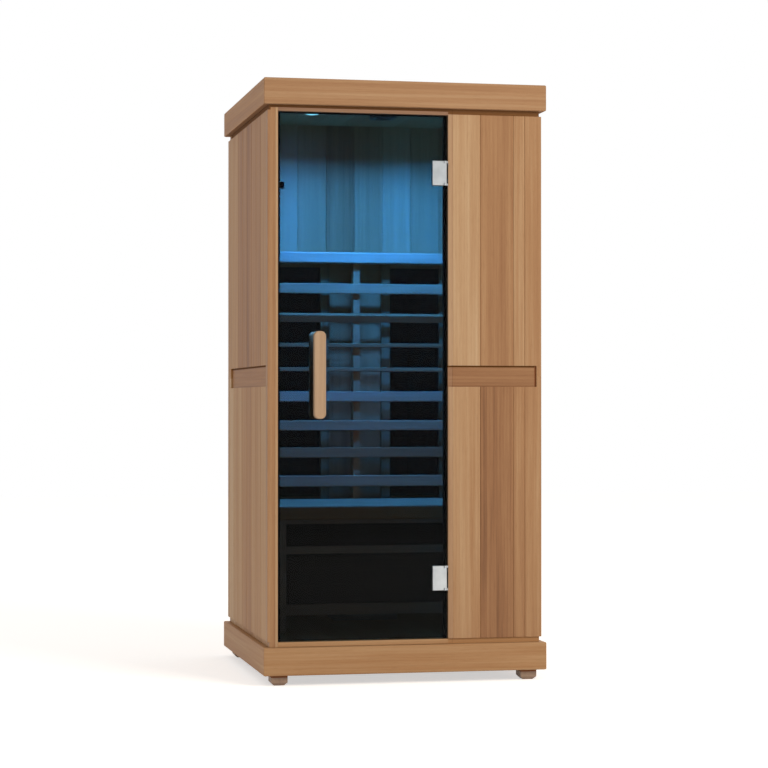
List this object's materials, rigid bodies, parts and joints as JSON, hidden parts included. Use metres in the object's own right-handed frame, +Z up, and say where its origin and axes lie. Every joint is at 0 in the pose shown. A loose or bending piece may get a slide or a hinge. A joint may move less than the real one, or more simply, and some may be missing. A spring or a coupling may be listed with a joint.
{
  "type": "infrared sauna cabin",
  "caption": "Square wooden infrared sauna cabin on a plinth with feet, with a tinted glass door that swings outwards, a bench and a slatted backrest over heater panels.",
  "frame": {"origin": "middle of the cabin's outline on the floor, with the outer door handle counted in", "axes": "+Z up, +X to the right and +Y to the back as seen from the front; the door faces -Y"},
  "size_m": [0.914, 0.943, 1.905],
  "materials": {
    "wall_boards": "clear satin oil",
    "trim_boards": "clear satin oil",
    "lining_boards": "untreated, sanded",
    "bench_wood": "untreated, sanded",
    "handle_wood": "clear satin oil",
    "plywood": "raw",
    "tinted_glass": "polished, dark tint",
    "satin_metal": "satin",
    "heater_black": "matt",
    "black_plastic": "fine texture",
    "light_lens": "frosted, lit",
    "box_steel": "powder coat"
  },
  "bodies": {
    "cabin": {"foot_front_left": "trim_boards", "foot_front_right": "trim_boards", "foot_back_left": "trim_boards", "foot_back_right": "trim_boards", "plinth_front": "trim_boards", "plinth_right": "trim_boards", "plinth_back": "trim_boards", "plinth_left": "trim_boards", "floor_panel": "lining_boards", "right_wall_panel": "wall_boards", "left_wall_panel": "wall_boards", "right_lining": "lining_boards", "left_lining": "lining_boards", "back_wall_panel": "wall_boards", "back_lining": "lining_boards", "front_panel": "wall_boards", "front_lining": "lining_boards", "left_stile": "trim_boards", "head_rail": "trim_boards", "door_sill": "trim_boards", "hinge_jamb": "trim_boards", "ceiling_panel": "lining_boards", "roof_cover": "plywood", "cap_front": "trim_boards", "cap_right": "trim_boards", "cap_back": "trim_boards", "cap_left": "trim_boards", "ceiling_light": "light_lens", "vent_frame": "black_plastic", "bench_seat": "bench_wood", "bench_front": "bench_wood", "leg_heater": "heater_black", "power_box": "box_steel", "backrest_slat_1": "bench_wood", "backrest_slat_2": "bench_wood", "backrest_slat_3": "bench_wood", "backrest_slat_4": "bench_wood", "backrest_slat_5": "bench_wood", "backrest_slat_6": "bench_wood", "backrest_slat_7": "bench_wood", "backrest_slat_8": "bench_wood", "backrest_ledge": "bench_wood", "centre_rib": "bench_wood", "back_heater_right": "heater_black", "back_heater_left": "heater_black", "control_panel": "black_plastic", "lower_hinge_jamb_leaf": "satin_metal", "upper_hinge_jamb_leaf": "satin_metal", "door_catch": "black_plastic"},
    "door": {"door_glass": "tinted_glass", "lower_hinge_outer_plate": "satin_metal", "lower_hinge_inner_plate": "satin_metal", "upper_hinge_outer_plate": "satin_metal", "upper_hinge_inner_plate": "satin_metal", "door_handle_outer": "handle_wood", "door_handle_inner": "handle_wood", "handle_bolt_lower": "satin_metal", "handle_bolt_upper": "satin_metal"},
    "vent_shutter": {"vent_slide": "black_plastic"}
  },
  "joints": [
    {"name": "door_swing", "type": "hinge", "parent": "cabin", "child": "door", "pos_m": [0.1277, -0.4288, 0.9735], "axis": [0, 0, 1], "range_deg": [0, 110]},
    {"name": "vent_travel", "type": "slide", "parent": "cabin", "child": "vent_shutter", "axis": [0, -1, 0], "range_m": [0, 0.0305]}
  ]
}
